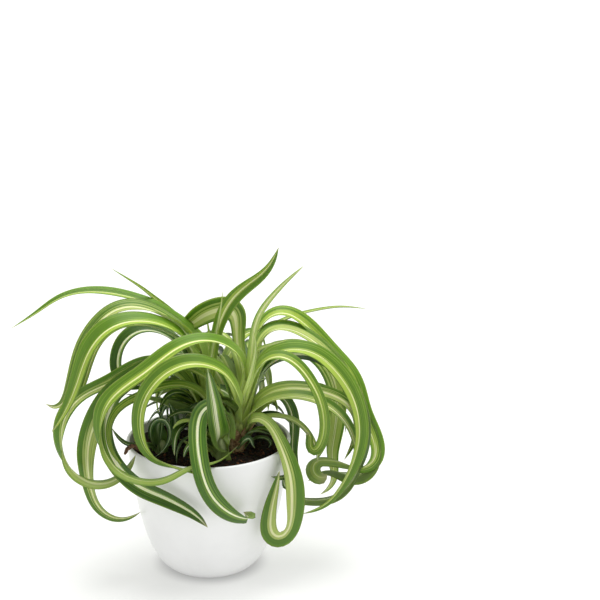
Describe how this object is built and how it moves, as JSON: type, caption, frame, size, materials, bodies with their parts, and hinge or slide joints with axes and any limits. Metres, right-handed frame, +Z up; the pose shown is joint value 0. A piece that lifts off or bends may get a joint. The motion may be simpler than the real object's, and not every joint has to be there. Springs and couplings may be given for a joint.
{
  "type": "potted curly spider plant",
  "caption": "House plant with long arching and curling cream-striped green leaves, growing from leafy shoots in soil in a plain white tapered pot.",
  "frame": {"origin": "centre of the pot's underside, on the surface it stands on", "axes": "+Z up, -Y towards the front of the plant, +X to the right seen from the front"},
  "size_m": [0.303, 0.1993, 0.2746],
  "materials": {
    "pot": "smooth white glaze, satin",
    "soil": "moist dark potting soil with bits of bark",
    "leaf": "satin green with a cream stripe along the middle",
    "sheath": "pale green to tan leaf sheaths, dry at the foot",
    "runner": "dry brown withered stem"
  },
  "bodies": {
    "root": {"pot": "pot", "soil": "soil", "crown_main": "sheath", "crown_front": "sheath", "crown_rear": "sheath", "crown_offset": "sheath", "spike_far_left": "leaf", "spike_up_left": "leaf", "arch_left_outer": "leaf", "arch_left_middle": "leaf", "arch_left_inner": "leaf", "curl_left_dark": "leaf", "ring_left_low": "leaf", "hang_left": "leaf", "blade_over_pot": "leaf", "ring_large": "leaf", "ring_front": "leaf", "ring_inner": "leaf", "hook_front": "leaf", "blade_centre": "leaf", "hairpin_front": "leaf", "curl_right_low": "leaf", "curl_right_tip": "leaf", "spike_highest": "leaf", "spike_right": "leaf", "spike_pale": "leaf", "spike_thin": "leaf", "loop_top": "leaf", "arch_right_top": "leaf", "tip_far_right": "leaf", "arch_right_grey": "leaf", "arch_right_bright": "leaf", "ring_right_tall": "leaf", "ring_right_low": "leaf", "arch_right_low_back": "leaf", "arch_right_low_front": "leaf", "arch_right_cream": "leaf", "hang_right_pale": "leaf", "ring_right_outer": "leaf", "hang_right_dark": "leaf", "tip_right_pale": "leaf", "blade_upright_pale": "leaf", "leaf_inner_left": "leaf", "leaf_inner_short": "leaf", "curl_by_crown_top": "leaf", "curl_by_crown_hook": "leaf", "curl_by_crown_low": "leaf", "leaf_on_soil": "leaf", "offset_blade": "leaf", "offset_ring": "leaf", "offset_heart": "leaf", "offset_strand": "leaf", "offset_over_rim": "leaf", "arch_back_left": "leaf", "arch_back_middle": "leaf", "arch_back_right": "leaf", "arch_back_high": "leaf", "dry_stub": "runner"}
  },
  "joints": []
}
